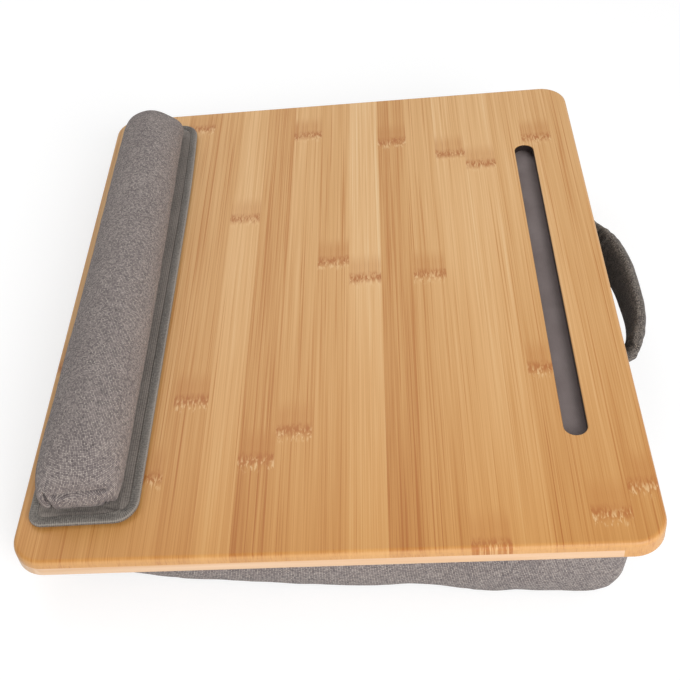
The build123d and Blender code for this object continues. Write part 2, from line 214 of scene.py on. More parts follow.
# Knuckle marks
# Where a strip crosses a knuckle of the cane, its fibres are torn up, and show as a brown smear with pale
# dashes and dark flames beside it.
ragged_place = add("CombineXYZ", {0: strip, 1: across_y, 2: 0})
ragged = add("TexNoise", {"Vector": ragged_place, "Scale": 0.5, "Detail": 3})
wander = add("Math", {0: ragged, 1: 0.5}, operation="SUBTRACT")
bands = [0, 0, 0]
for places in (first_knuckles, second_knuckles):
    shares = [(place + knuckle_reach) / (2 * knuckle_reach) for place in places]
    listed = strip_list(add, strip, shares)
    place = add("Math", {0: listed, 1: 2 * knuckle_reach, 2: -knuckle_reach}, operation="MULTIPLY_ADD")
    gap = add("Math", {0: along_x, 1: place}, operation="SUBTRACT")
    gap = add("Math", {0: wander, 1: knuckle_wander, 2: gap}, operation="MULTIPLY_ADD")
    for number, (middle, half) in enumerate((smear_band, dash_band, flame_band)):
        off = add("Math", {0: gap, 1: middle}, operation="SUBTRACT")
        off = add("Math", {0: off}, operation="ABSOLUTE")
        near = add("MapRange", {0: off, 1: half * 0.1, 2: half, 3: 1, 4: 0}, **smooth)
        bands[number] = add("Math", {0: near, 1: bands[number]}, operation="MAXIMUM")
short_x = add("Math", {0: along_x, 1: 0.32}, operation="MULTIPLY")
torn_place = add("CombineXYZ", {0: short_x, 1: across_y, 2: strip})
torn = add("TexNoise", {"Vector": torn_place, "Scale": 0.72, "Detail": 2, "Distortion": 0.6})
torn_dark = add("MapRange", {0: torn, 1: 0.44, 2: 0.58, 3: 0.22, 4: 0.9})
torn_pale = add("MapRange", {0: torn, 1: 0.47, 2: 0.38, 3: 0, 4: 0.7})
flame_lines = add("MapRange", {0: fibres, 1: 0.42, 2: 0.64, 3: 0.1, 4: 0.75})
smear, dashes, flames = bands
for band, lines, code in (
    (flames, flame_lines, "#B87A3E"), (smear, torn_dark, "#AD6A33"), (dashes, torn_pale, "#E4BD8A"),
):
    mark = add("Math", {0: band, 1: lines}, operation="MULTIPLY")
    wood = add("MixRGB", {"Fac": mark, "Color1": wood, "Color2": linear(code)})

# Dark slot walls
# The walls of the slot are coloured dark brown, under a thin clean edge.
slot_y = add("Math", {0: across_y, 1: slot_middle}, operation="SUBTRACT")
dark_walls = add("MapRange", {0: through_z, 1: dark_wall_fade - dark_wall_depth, 2: -dark_wall_depth, 3: 0, 4: 1})
for offset, half in ((along_x, slot_half_x), (slot_y, slot_half_y)):
    away = add("Math", {0: offset}, operation="ABSOLUTE")
    inside = add("Math", {0: away, 1: half + dark_wall_spread}, operation="LESS_THAN")
    dark_walls = add("Math", {0: dark_walls, 1: inside}, operation="MULTIPLY")
wood = add("MixRGB", {"Fac": dark_walls, "Color1": wood, "Color2": linear("#2B2220")})
finish_surface(add, wood, fibres, 0.25, relief_depth, {
    "Roughness": 0.45, "Specular IOR Level": 0.3, "Coat Weight": 0.12, "Coat Roughness": 0.28,
})


def dress(node_name, material):
    """Gives a CAD node its finish."""
    mesh = nodes[node_name].data
    mesh.materials.clear()
    mesh.materials.append(material)


dress("top_panel", bamboo)

# Battens
# Four flat battens of the same cane are glued under the panel as a frame, with their pale edge grain out.
# Edge grain shows as thin lines along the batten, and the small chamfer below is sanded to a pinker tone.
line_size = (0.7, 160.0)
chamfer_line = -10.5


def edge_grain(name, lengthwise):
    """Bamboo on edge under satin lacquer: pale, with thin lines along the batten."""
    material, add = new_material(name)
    split = add("SeparateXYZ", {0: board_millimetres(add)})
    x, y, z = split.outputs
    long_way, short_way = (x, y) if lengthwise else (y, x)
    lines = grain(add, long_way, short_way, z, line_size)
    soft = grain(add, long_way, short_way, z, streak_size)
    tone = add("Math", {0: soft, 1: 0.6, 2: lines}, operation="MULTIPLY_ADD")
    face = add("ValToRGB", {"Fac": tone})
    set_stops(face, (0.5, "#D8AD83"), (1.0, "#E7C7A8"))
    below = add("MapRange", {0: z, 1: chamfer_line + 0.3, 2: chamfer_line, 3: 0, 4: 0.8})
    face = add("MixRGB", {"Fac": below, "Color1": face, "Color2": linear("#DCAA86")})
    finish_surface(add, face, lines, 0.2, relief_depth, {
        "Roughness": 0.45, "Specular IOR Level": 0.3, "Coat Weight": 0.12, "Coat Roughness": 0.3,
    })
    return material


side_grain = edge_grain("bamboo_edge_grain_sides", False)
cross_grain = edge_grain("bamboo_edge_grain_ends", True)
dress("batten_left", side_grain)
dress("batten_right", side_grain)
dress("batten_front", cross_grain)
dress("batten_back", bamboo)

# Hook and loop tape
# Strips of black hook tape are stuck under the panel and on it under the wrist rest, and each meets a
# strip of brushed loop tape. Hooks stand in rows, and loops lie as a short fuzzy pile.
hook_pitch, tape_relief = 1.6, 0.4


def tape_finish(name, code, rows):
    """Black nylon: moulded hooks in rows that glint a little, or a matt pile of loops."""
    material, add = new_material(name)
    place = board_millimetres(add)
    dots = add("TexVoronoi", {
        "Vector": place, "Scale": 1 / hook_pitch, "Randomness": 0 if rows else 1,
    })
    # Painted highlight and shade: each hook or loop is lighter at its middle and darker round it.
    shade = add("MapRange", {0: dots, 1: 0, 2: 0.7, 3: 1.5, 4: 0.55})
    colour = add("VectorMath", {0: linear(code)[:3], "Scale": shade}, operation="SCALE")
    finish_surface(add, colour, shade, 0.8, tape_relief, {
        "Roughness": 0.45 if rows else 0.9, "Sheen Weight": 0.0 if rows else 0.4,
    })
    return material


hooks = tape_finish("nylon_hook_tape", "#2A2A2B", True)
loops = tape_finish("nylon_loop_tape", "#303031", False)
for name in ("tray_hook_strips", "wrist_hook_strip"):
    dress(name, hooks)
for name in ("cushion_loop_strips", "wrist_loop_strip"):
    dress(name, loops)

# Wrist rest base
# The base is a stiff sheet covered in dark grey ribbed cloth. It lies on its tape, its rim settles on the
# board, and the cloth is pleated at its back right corner, where the roll's end was turned in.
base_low, base_high = 2.6, 4.2
base_half_x, base_half_y = 175.4, 28.5
base_corners = (7.0, 12.0, 13.5, 10.0)  # cut by eye: front right, back right, back left, front left
base_x, base_y = -1.2, 36.3
base_skew = 0.02
base_taper, taper_start, taper_run = 3.0, 60.0, 115.0
rim_settle, rim_run, rim_side_run, rim_bend = 1.1, 16.0, 10.0, 1.6
base_step = 1.6
# Folds of the base's cloth: start and end from its middle, half width, and height (a furrow's is negative).
folds = (
    ((165, 7), (171.5, 16), 1.4, 1.5),
    ((170.5, 13), (172, 25), 1.3, 1.4),
    ((161, 20), (171.5, 19.5), 1.7, 1.5),
    ((170.5, -23), (168, -17), 2.0, 1.4),
    ((-164, 20), (-171, 15), 2.2, 1.0),
    ((-171, 19), (-169, 25), 1.5, -1.3),
    ((-164, 18), (-164, 24), 1.4, -1.0),
    ((166.8, -22), (168, 20), 1.2, -1.3),
    ((168, 18), (160, 23.5), 1.0, -0.9),
)


def unit(value):
    """The value, kept from 0 to 1."""
    return min(max(value, 0), 1)


def on_base(x, y, height):
    """A place on the base, from its middle: out of square at the right end, narrower at the left one."""
    taper = unit((-x - taper_start) / taper_run) ** 2 * max(y, 0) / base_half_y
    skew = base_skew * y * max(x, 0) / base_half_x
    return on_board(base_x + x - skew, base_y + y - base_taper * taper, height)


def round_corner(x, y, half_x, half_y, corners):
    """Draws the corner of a rectangle in to a round, and leaves the rest."""
    right_two, left_two = corners[:2], corners[:1:-1]
    radius = (right_two if x > 0 else left_two)[0 if y < 0 else 1]
    over_x, over_y = abs(x) - (half_x - radius), abs(y) - (half_y - radius)
    if over_x <= 0 or over_y <= 0:
        return x, y
    shrink = max(over_x, over_y) / hypot(over_x, over_y)
    new_x, new_y = half_x - radius + over_x * shrink, half_y - radius + over_y * shrink
    return (new_x if x > 0 else -new_x), (new_y if y > 0 else -new_y)


def settle(x, y):
    """How far the base's rim hangs down at this place, counted from the base's middle."""
    rim = max(abs(x) - base_half_x + rim_run, abs(y) - base_half_y + rim_side_run, 0) / rim_run
    return rim_settle * min(rim, 1) ** rim_bend


def ridge(x, y, start, end, half_width):
    """1 at the middle of the line from start to end, less at its ends, and little past half_width."""
    span = Vector(end) - Vector(start)
    step = Vector((x, y)) - Vector(start)
    share = unit(step.dot(span) / span.length_squared)
    gap = (step - span * share).length / half_width
    return exp(-gap * gap * 2) * sin(pi * (0.12 + 0.76 * share))


def ripple(*place):
    """Soft noise, from -1 to 1."""
    return noise.noise(Vector(place))


def sheet_lift(x, y):
    """The small waves and the folds of the covered sheet."""
    wave = 0.35 * ripple(x / 26, y / 9, 3.1)
    return wave + sum(height * ridge(x, y, start, end, half) for start, end, half, height in folds)


scene = bpy.context.scene


def make_object(name, mesh, material):
    """Puts a mesh in the scene as a piece."""
    piece = bpy.data.objects.new(name, mesh)
    scene.collection.objects.link(piece)
    mesh.materials.append(material)
    return piece


def make_piece(name, points, faces, weave, material):
    """A smooth piece from its points and faces. weave gives the cloth's place at each face's corners."""
    mesh = bpy.data.meshes.new(name)
    mesh.from_pydata(points, [], faces)
    if weave:
        chart = mesh.uv_layers.new(name="Weave")
        for polygon, places in zip(mesh.polygons, weave):
            for loop, place in zip(polygon.loop_indices, places):
                chart.data[loop].uv = place
    shape = bmesh.new()
    shape.from_mesh(mesh)
    bmesh.ops.recalc_face_normals(shape, faces=shape.faces)
    shape.to_mesh(mesh)
    shape.free()
    mesh.shade_smooth()
    return make_object(name, mesh, material)


def slab(name, half_x, half_y, corners, step, place, top, bottom, material):
    """A closed sheet with rounded corners. top and bottom give its faces' heights above the board."""
    count_x, count_y = ceil(2 * half_x / step), ceil(2 * half_y / step)
    points, weave = [], []
    for height in (top, bottom):
        for i in range(count_x + 1):
            for j in range(count_y + 1):
                x = half_x * (2 * i / count_x - 1)
                y = half_y * (2 * j / count_y - 1)
                x, y = round_corner(x, y, half_x, half_y, corners)
                points.append(place(x, y, height(x, y)))
                weave.append((y, x))
    row, layer = count_y + 1, (count_x + 1) * (count_y + 1)
    faces = []
    for i in range(count_x):
        for j in range(count_y):
            square = (i * row + j, (i + 1) * row + j, (i + 1) * row + j + 1, i * row + j + 1)
            faces.append(square)
            faces.append(tuple(layer + corner for corner in reversed(square)))
    rim = [i * row for i in range(count_x)] + [count_x * row + j for j in range(count_y)]
    rim += [i * row + count_y for i in range(count_x, 0, -1)] + list(range(count_y, 0, -1))
    for a, b in zip(rim, rim[1:] + rim[:1]):
        faces.append((b, a, layer + a, layer + b))
    return make_piece(name, points, faces, [[weave[corner] for corner in face] for face in faces], material)


def weave_place(add, mapped):
    """Two distances along the cloth in millimetres: from the weave map, or from the facing direction."""
    if mapped:
        return add("SeparateXYZ", {0: add("UVMap", {}, uv_map="Weave")}).outputs[:2]
    place = add("TexCoord", {}).outputs
    x, y, z = add("SeparateXYZ", {0: place["Object"]}).outputs
    facing = add("VectorMath", {0: place["Normal"]}, operation="ABSOLUTE")
    fx, fy, fz = add("SeparateXYZ", {0: facing}).outputs
    ways = []
    for here, other, way in ((fx, fz, x), (fz, fx, z)):
        most = add("Math", {0: other, 1: fy}, operation="MAXIMUM")
        faced = add("Math", {0: here, 1: most}, operation="GREATER_THAN")
        way = add("Mix", {0: faced, 2: way, 3: y}, data_type="FLOAT")
        ways.append(add("Math", {0: way, 1: mm}, operation="DIVIDE"))
    return ways


def paint_crease_shade(add, colour, reach):
    """Painted shade: darkens cloth where it folds close to itself or its neighbour, within reach
    millimetres.
    """
    opening = add("AmbientOcclusion", {"Distance": reach * mm}, samples=4)
    light = add("MapRange", {0: opening.outputs["AO"], 1: 0.12, 2: 0.72, 3: 0.12, 4: 1})
    return add("VectorMath", {0: colour, "Scale": light}, operation="SCALE")


def soft_patches(add, u, v, seed, scale, detail):
    """Soft patches over the cloth. seed sets them apart from those of another layer."""
    place = add("CombineXYZ", {0: u, 1: v, 2: seed})
    return add("TexNoise", {"Vector": place, "Scale": scale, "Detail": detail})


rib_pitch = 1.15  # drawn about half as wide again as the real ribs, to show
rib_depth, trim_shade_reach = 0.25, 3.5


def ribbed_cloth(name, codes, strength, highlight_place):
    """Grosgrain: matt, with fine ribs, and a painted highlight: a paler line where the tape folds round a
    rim.
    """
    material, add = new_material(name)
    u, v = weave_place(add, True)
    across = add("Math", {0: u, 1: rib_pitch}, operation="DIVIDE")
    turn = add("Math", {0: across, 1: 2 * pi}, operation="MULTIPLY")
    wave = add("Math", {0: turn}, operation="SINE")
    number = add("Math", {0: across}, operation="FLOOR")
    place = add("CombineXYZ", {0: number, 1: v, 2: 0})
    yarns = add("TexNoise", {"Vector": place, "Scale": 0.9, "Detail": 1})
    cloud = soft_patches(add, u, v, 7, 0.04, 3)
    # Painted light and shade: each rib is lighter on its crest and darker in the groove between ribs.
    tone = add("Math", {0: wave, 1: 0.16, 2: yarns}, operation="MULTIPLY_ADD")
    tone = add("Math", {0: cloud, 1: 0.6, 2: tone}, operation="MULTIPLY_ADD")
    colour = add("ValToRGB", {"Fac": tone})
    set_stops(colour, (0.45, codes[0]), (1.0, codes[1]))
    # Painted highlight: a paler line along the fold.
    painted_highlight = add("Math", {0: v, 1: highlight_place}, operation="SUBTRACT")
    painted_highlight = add("Math", {0: painted_highlight}, operation="ABSOLUTE")
    painted_highlight = add("MapRange", {0: painted_highlight, 1: 0.15, 2: 0.8, 3: 0.55, 4: 0}, **smooth)
    colour = add("MixRGB", {"Fac": painted_highlight, "Color1": colour, "Color2": linear("#A39D95")})
    # Painted shade where the tape folds close to itself or the base.
    colour = paint_crease_shade(add, colour, trim_shade_reach)
    finish_surface(add, colour, wave, strength, rib_depth, {
        "Roughness": 0.85, "Sheen Weight": 0.15, "Specular IOR Level": 0.3,
    })
    return material


# The base's cloth gets no painted highlight: its line is put far off the cloth.
highlight_off_cloth = 400  # far from the cloth
base_cloth = ribbed_cloth("polyester_ribbed_base_cloth", ("#5F5853", "#857D76"), 0.3, highlight_off_cloth)
base_sheet = slab(
    "wrist_base_sheet", base_half_x, base_half_y, base_corners, base_step, on_base,
    lambda x, y: base_high + sheet_lift(x, y) - settle(x, y),
    lambda x, y: base_low - settle(x, y),
    base_cloth,
)
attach(base_sheet, "wrist_rest")
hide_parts("wrist_base")

# Binding
# The binding is ribbed polyester tape, folded over the base's rim and sewn through near its inner edge, so
# it puffs a little between its stitches.
binding_width, binding_skin = 4.1, 0.6
# The binding's painted highlight runs along this fold.
fold_place = 5.7  # along the tape's outline, from its upper inner edge to where it folds round the rim
path_step = 2.0
stitch_length, stitch_gap, stitch_inset, stitch_puff = 2.6, 0.9, 1.2, 0.18
rim_runs = []  # the base's sides and corners, in turn from its front side
for side, corner in enumerate(base_corners):
    rim_runs.append(2 * (base_half_x, base_half_y)[side % 2] - base_corners[side - 1] - corner)
    rim_runs.append(pi * corner / 2)
rim_length = sum(rim_runs)


def rim_place(distance, inset):
    """A place on the base's rounded outline, drawn in by inset."""
    distance %= rim_length
    for number, run in enumerate(rim_runs):
        if distance <= run:
            break
        distance -= run
    side = number // 2
    out = Vector(((0, -1), (1, 0), (0, 1), (-1, 0))[side])
    forward = Vector((-out.y, out.x))
    half_along = (base_half_x, base_half_y)[side % 2]
    half_out = (base_half_y, base_half_x)[side % 2]
    if number % 2 == 0:
        return out * (half_out - inset) + forward * (distance - half_along + base_corners[side - 1])
    corner = base_corners[side]
    turn = distance / corner
    ray = out * cos(turn) + forward * sin(turn)
    return out * (half_out - corner) + forward * (half_along - corner) + ray * (corner - inset)


def binding_ring(distance):
    """The folded tape's outline where it wraps the rim."""
    puff = stitch_puff * sin(distance / (stitch_length + stitch_gap) * pi) ** 2
    waver = 0.25 * ripple(distance / 11, 0.4, 8.2)
    reach = binding_width + waver
    high, low = base_high + binding_skin + 0.1, base_low - binding_skin - 0.1
    outline = [
        (reach, base_high - 0.3), (reach, high - 0.3), (reach - 0.4, high - 0.05),
        (reach - 1.2, high - 0.35), (reach - 2.1, high + puff), (0.9, high + 0.05 + puff),
        (0.1, high - 0.08), (-0.55, high - 0.5), (-0.8, (high + low) / 2), (-0.45, low + 0.65),
        (0.4, low + 0.1), (1.6, low), (reach - 0.5, low), (reach, low + 0.4),
        (reach, base_low + 0.3), (1.0, base_low + 0.3), (1.0, base_high - 0.3),
    ]
    ring = []
    for inset, height in outline:
        place = rim_place(distance, inset)
        lift = sheet_lift(*place) if inset > 1 and height > base_high - 0.5 else 0
        ring.append(on_base(*place, height + lift - settle(*place)))
    return ring


ring_count = round(rim_length / path_step)
rings = [binding_ring(rim_length * i / ring_count) for i in range(ring_count)]
step, sides = rim_length / ring_count, len(rings[0])
around = [0.0]
for j in range(sides):
    around.append(around[-1] + (rings[0][(j + 1) % sides] - rings[0][j]).length / mm)
faces, weave = [], []
for i in range(ring_count):
    for j in range(sides):
        a, b, k = i * sides, ((i + 1) % ring_count) * sides, (j + 1) % sides
        faces.append((a + j, b + j, b + k, a + k))
        near, far, low, high = i * step, (i + 1) * step, around[j], around[j + 1]
        weave.append(((near, low), (far, low), (far, high), (near, high)))
binding_tape = ribbed_cloth("polyester_grosgrain_tape", ("#56504B", "#847E77"), 0.6, fold_place)
points = [point for ring in rings for point in ring]
binding = make_piece("wrist_binding_tape", points, faces, weave, binding_tape)
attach(binding, "wrist_rest")
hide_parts("wrist_binding")

# Stitches
# One row of grey polyester thread runs through the binding, close to its inner edge. The stitches are
# short, and lie in the groove that they pull in the tape.
thread_radius, ply_depth, stitch_arch = 0.18, 0.1, 0.1
# How far along a stitch each of its rings lies, and how thick it is there.
stitch_rings = ((0.0, 0.35), (0.12, 0.9), (0.5, 1.0), (0.88, 0.9), (1.0, 0.35))
stitch_count, sides = int(rim_length / (stitch_length + stitch_gap)), 6
points, faces = [], []
for number in range(stitch_count):
    ends = []
    for distance in (0, stitch_length):
        place = rim_place(rim_length * number / stitch_count + distance, binding_width - stitch_inset)
        height = base_high + binding_skin - 0.1 + sheet_lift(*place) - settle(*place)
        ends.append(on_base(*place, height))
    across = (ends[1] - ends[0]).normalized().cross(up).normalized()
    for share, thickness in stitch_rings:
        middle = ends[0].lerp(ends[1], share) + up * (stitch_arch * mm * sin(pi * share))
        for k in range(sides):
            turn = 2 * pi * k / sides
            points.append(middle + (across * cos(turn) + up * sin(turn)) * (thread_radius * mm * thickness))
    last = len(points) - sides
    first = last - (len(stitch_rings) - 1) * sides
    for ring in range(first, last, sides):
        for k in range(sides):
            a, b = ring + k, ring + (k + 1) % sides
            faces.append((a, b, b + sides, a + sides))
    faces += [tuple(first + k for k in reversed(range(sides))), tuple(last + k for k in range(sides))]

# Spun polyester: a soft sheen, broken by the twist of its plies.
thread, add = new_material("polyester_thread")
place = add("TexCoord", {})
plies = add("TexNoise", {"Vector": place.outputs["Object"], "Scale": 1.4 / mm, "Detail": 1})
shade = add("MapRange", {0: plies, 1: 0.3, 2: 0.7, 3: 0.75, 4: 1.2})
colour = add("VectorMath", {0: linear("#6C6761")[:3], "Scale": shade}, operation="SCALE")
finish_surface(add, colour, plies, 0.5, ply_depth, {"Roughness": 0.6})
binding_stitches = make_piece("wrist_binding_stitches", points, faces, None, thread)
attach(binding_stitches, "wrist_rest")

# Wrist roll
# A D-shaped bar of foam in a sewn cover of melange linen-look cloth. The cover is pulled tight along the
# roll. Each end is folded in like a parcel: a lip over the base, a flap in front and puckers at the back.
roll_half, roll_width, roll_height = 166.8, 43.6, 34.0
roll_x = 0.1
roll_spread, roll_lean = 2.6, -1.3  # it is fuller towards its right end, and leans to the front at both
roll_skew = 0.06  # both ends are folded in a little further at the back
left_drop, left_slump = 0.8, 5.0  # the left end is lower, and slopes down at the back
slump_start, slump_run, slump_back = 115.0, 45.0, 19.0
roll_sole = base_high + 0.1
end_run, end_height, end_width, end_bulge, corner_run = 29.0, 14.0, 36.0, 0.6, 15.0
girth_share, under_power = 0.44, 0.62  # it is widest below its middle, and squarer under that
roll_sides, middle_rings = 44, 66
roll_swell = 1.6  # the most that the stuffing moves the cover


def ring_mesh(name, rings, material):
    """A closed skin through rings of points, whose weave map holds distances along the cloth."""
    count, sides = len(rings), len(rings[0])
    faces, weave = [], []
    around = []
    for ring in rings:
        lengths = [0.0]
        for j in range(sides):
            lengths.append(lengths[-1] + (ring[(j + 1) % sides] - ring[j]).length / mm)
        around.append([length - lengths[-1] / 2 for length in lengths])
    middle = count // 2
    along = [[0.0] * (sides + 1) for _ in rings]
    for order, sign in ((range(middle + 1, count), 1), (range(middle - 1, -1, -1), -1)):
        for i in order:
            for j in range(sides + 1):
                gap = (rings[i][j % sides] - rings[i - sign][j % sides]).length / mm
                along[i][j] = along[i - sign][j] + sign * gap
    for i in range(count - 1):
        for j in range(sides):
            a, b, k = i * sides, (i + 1) * sides, (j + 1) % sides
            faces.append((a + j, a + k, b + k, b + j))
            corners = ((i, j), (i, j + 1), (i + 1, j + 1), (i + 1, j))
            weave.append([(around[r][s], along[r][s]) for r, s in corners])
    for i in (0, count - 1):
        faces.append(tuple(i * sides + j for j in range(sides)))
        weave.append([(around[i][j], along[i][j]) for j in range(sides)])
    return make_piece(name, [p for ring in rings for p in ring], faces, weave, material)


swell_frames = 20


def inflate(piece, held, pressure, reach):
    """Swells a piece as its stuffing does, with the points that held() picks kept in place."""
    mesh = piece.data
    before = [v.co.copy() for v in mesh.vertices]
    seams = piece.vertex_groups.new(name="seams")
    seams.add([v.index for v in mesh.vertices if held(from_board(v.co))], 1, "REPLACE")
    stuffing = piece.modifiers.new("stuffing", "CLOTH")
    cloth = stuffing.settings
    cloth.vertex_group_mass = "seams"
    cloth.use_pressure = True
    cloth.uniform_pressure_force = pressure
    cloth.effector_weights.gravity = 0
    cloth.quality = 6
    cloth.bending_stiffness = 0.3
    stuffing.point_cache.frame_end = swell_frames
    for number in range(swell_frames):
        scene.frame_set(number + 1)
    swollen = piece.evaluated_get(bpy.context.evaluated_depsgraph_get()).data
    after = [v.co.copy() for v in swollen.vertices]
    piece.modifiers.remove(stuffing)
    piece.vertex_groups.remove(seams)
    scene.frame_set(1)
    for vertex, old, new in zip(mesh.vertices, before, after):
        step = new - old
        if step.length > reach * mm:
            step *= reach * mm / step.length
        vertex.co = old + step


def apply_modifier(piece, modifier):
    """Gives the piece the mesh that its modifier makes."""
    made = bpy.data.meshes.new_from_object(piece.evaluated_get(bpy.context.evaluated_depsgraph_get()))
    piece.modifiers.remove(modifier)
    piece.data = made


def subdivide(piece, levels):
    """Smooths the piece's mesh into finer faces."""
    smoother = piece.modifiers.new("smoother", "SUBSURF")
    smoother.levels = smoother.render_levels = levels
    apply_modifier(piece, smoother)
    piece.data.shade_smooth()


yarn_width, slub_length = 0.85, 3.2  # the yarn is drawn about half as wide again as the real one, to show
yarn_relief = 0.3


def melange(name, codes, mapped, shade_reach):
    """Plain weave of slubby, flecked yarn: dry and matt, with light and dark threads mixed at random."""
    material, add = new_material(name)
    u, v = weave_place(add, mapped)
    bend = soft_patches(add, u, v, 2, 0.12, 1)
    u = add("Math", {0: bend, 1: 0.2, 2: u}, operation="MULTIPLY_ADD")
    v = add("Math", {0: bend, 1: -0.2, 2: v}, operation="MULTIPLY_ADD")
    tones, crowns, numbers = [], [], []
    for here, there, seed in ((u, v, 0), (v, u, 40)):
        count = add("Math", {0: here, 1: yarn_width}, operation="DIVIDE")
        number = add("Math", {0: count}, operation="FLOOR")
        length = add("Math", {0: there, 1: slub_length}, operation="DIVIDE")
        spread = add("Math", {0: number, 1: 3.7}, operation="MULTIPLY")
        place = add("CombineXYZ", {0: spread, 1: length, 2: seed})
        tint = add("TexNoise", {"Vector": place, "Scale": 1, "Detail": 2, "Roughness": 0.7})
        tones.append(tint)
        share = add("Math", {0: count}, operation="FRACT")
        turn = add("Math", {0: share, 1: pi}, operation="MULTIPLY")
        crowns.append(add("Math", {0: turn}, operation="SINE"))
        numbers.append(number)
    both = add("Math", {0: numbers[0], 1: numbers[1]}, operation="ADD")
    over = add("Math", {0: both, 1: 2}, operation="FLOORED_MODULO")
    tone = add("Mix", {0: over, 2: tones[0], 3: tones[1]}, data_type="FLOAT")
    crown = add("Math", {0: crowns[0], 1: crowns[1]}, operation="MULTIPLY")
    cloud = soft_patches(add, u, v, 9, 0.05, 3)
    crossing = add("CombineXYZ", {0: numbers[0], 1: numbers[1], 2: 0})
    fleck = add("TexWhiteNoise", {"Vector": crossing}, noise_dimensions="3D")
    tone = add("Math", {0: tone, 1: 0.72}, operation="MULTIPLY")
    # Painted light and shade: with the crown, each yarn is lighter at its middle and darker where it meets
    # the next.
    for layer, amount in ((cloud, 0.1), (crown, 0.4), (fleck.outputs["Value"], 0.22)):
        tone = add("Math", {0: layer, 1: amount, 2: tone}, operation="MULTIPLY_ADD")
    colour = add("ValToRGB", {"Fac": tone})
    set_stops(colour, (0.4, codes[0]), (0.98, codes[3]), (0.59, codes[1]), (0.75, codes[2]))
    # Painted shade where the cloth folds close to itself or its neighbour.
    colour = paint_crease_shade(add, colour, shade_reach)
    finish_surface(add, colour, crown, 0.8, yarn_relief, {
        "Roughness": 0.92, "Sheen Weight": 0.12, "Sheen Roughness": 0.5, "Specular IOR Level": 0.25,
    })
    return material


linen_codes, linen_shade_reach = ("#474041", "#746B6A", "#8F8481", "#BDB3A9"), 3
linen = melange("polyester_melange_linen", linen_codes, True, linen_shade_reach)


def signed_power(value, power):
    """The size of the value to this power, with its sign. A power under 1 squares a round outline."""
    return abs(value) ** power * (1 if value >= 0 else -1)


def roll_ring(inset, shrink):
    """One ring of the roll, at this distance in from its end. shrink draws it in over the end face."""
    rise = sqrt(1 - (1 - min(inset / end_run, 1)) ** 2)
    spread = sqrt(1 - (1 - min(inset / corner_run, 1)) ** 2)
    height = end_height + (roll_height - end_height) * rise
    width = end_width + (roll_width - end_width) * spread
    girth = height * girth_share
    ring = []
    for j in range(roll_sides):
        turn = 2 * pi * j / roll_sides - pi / 2
        c, s = cos(turn), sin(turn)
        power = 1 if s >= 0 else under_power
        y = width / 2 * signed_power(c, power)
        z = girth + (height - girth) * s if s >= 0 else girth * (1 - abs(s) ** power)
        ring.append((y * shrink, girth * 0.5 + (z - girth * 0.5) * shrink))
    return ring


def ease(share):
    """The share, kept from 0 to 1, with a slow start and finish."""
    share = unit(share)
    return share * share * (3 - 2 * share)


def roll_rings():
    """The roll's rings, from its left end to its right one."""
    rings = []
    end_face = [(0.0, 0.22), (0.0, 0.5), (0.0, 0.78), (0.15, 0.95)]
    insets = [0.9, 2.2, 4.0, 6.5, 9.5, 13, 17, 21, 25, end_run]
    stations = [
        (-roll_half - end_bulge * (1 - shrink) + inset, inset, shrink) for inset, shrink in end_face
    ]
    stations += [(-roll_half + inset, inset, 1) for inset in insets]
    right_end = [(-x, inset, shrink) for x, inset, shrink in reversed(stations)]
    start = -roll_half + end_run
    for i in range(1, middle_rings):
        stations.append((start - 2 * start * i / middle_rings, end_run, 1))
    for x, inset, shrink in stations + right_end:
        ring = roll_ring(inset, shrink)
        share = x / roll_half
        spread, lean = 1 + roll_spread * share / roll_width, roll_lean * share * share
        slump = ease((-x - slump_start) / slump_run) / roll_height
        rings.append([
            on_board(
                roll_x + x - roll_skew * y * share**3,
                base_y + lean + y * spread,
                roll_sole + z * (1 - slump * (left_drop + left_slump * ease(y / slump_back))),
            )
            for y, z in ring
        ])
    return rings


roll = ring_mesh("wrist_roll", roll_rings(), linen)
inflate(roll, lambda p: p.z < roll_sole + 2.5, 3, roll_swell)
subdivide(roll, 2)

# The folds set in over the last part of the roll. Each has a line, a lean, a width and a depth.
folded_end, face_start, face_run = 26.0, 13.0, 9.0
lip_line, lip_width, lip_puff = 6.5, 3.4, 1.0
fold_line, fold_lean, fold_width, fold_depth = 12.6, 0.05, 1.1, 2.4
flap_line, flap_lean, flap_width, flap_depth, flap_top = -15.4, -0.22, 0.9, 2.8, 15.0
puckers = ((11.6, 0.35, 6.5), (14.6, 0.2, 5.5), (17.0, 0.1, 4.5))  # line, lean and height of each
pucker_width, pucker_depth = 0.75, 2.4
foot_width, foot_depth = 1.5, 2.6


def bell(gap, width):
    """1 where the gap is 0, falling to 0 on both sides."""
    return exp(-((gap / width) ** 2))


def fold_ends(piece):
    """Presses the parcel folds into both ends, and lets the cover ripple slightly along the roll."""
    for vertex, normal in [(v, v.normal.copy()) for v in piece.data.vertices]:
        place = from_board(vertex.co)
        x, y, z = place.x - roll_x, place.y - base_y, place.z - roll_sole
        depth = abs(x) - (roll_half - folded_end)
        step = 0.35 * ripple(x / 34, y / 12, z / 12)
        step += 0.18 * ripple(x / 9, y / 6, z / 6)
        if depth > 0:
            on_face = unit((depth - face_start) / face_run)
            inner = unit((16.5 - abs(y)) / 3)
            press = fold_depth * bell(z - fold_line - fold_lean * y, fold_width) * inner
            press -= lip_puff * bell(z - lip_line, lip_width) * inner
            # the front flap's crease, then three short puckers where the back flap was pushed in
            press += flap_depth * bell(y - flap_line - flap_lean * z, flap_width) * unit((flap_top - z) / 2)
            for line, lean, tall in puckers:
                press += pucker_depth * bell(y - line - lean * z, pucker_width) * unit((tall - z) / 3)
            step -= on_face * (press + foot_depth * bell(z, foot_width))
        if z > 0.8 or depth > 0:
            vertex.co += normal * (step * mm)


fold_ends(roll)
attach(roll, "wrist_rest")
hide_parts("wrist_cover", "wrist_foam")

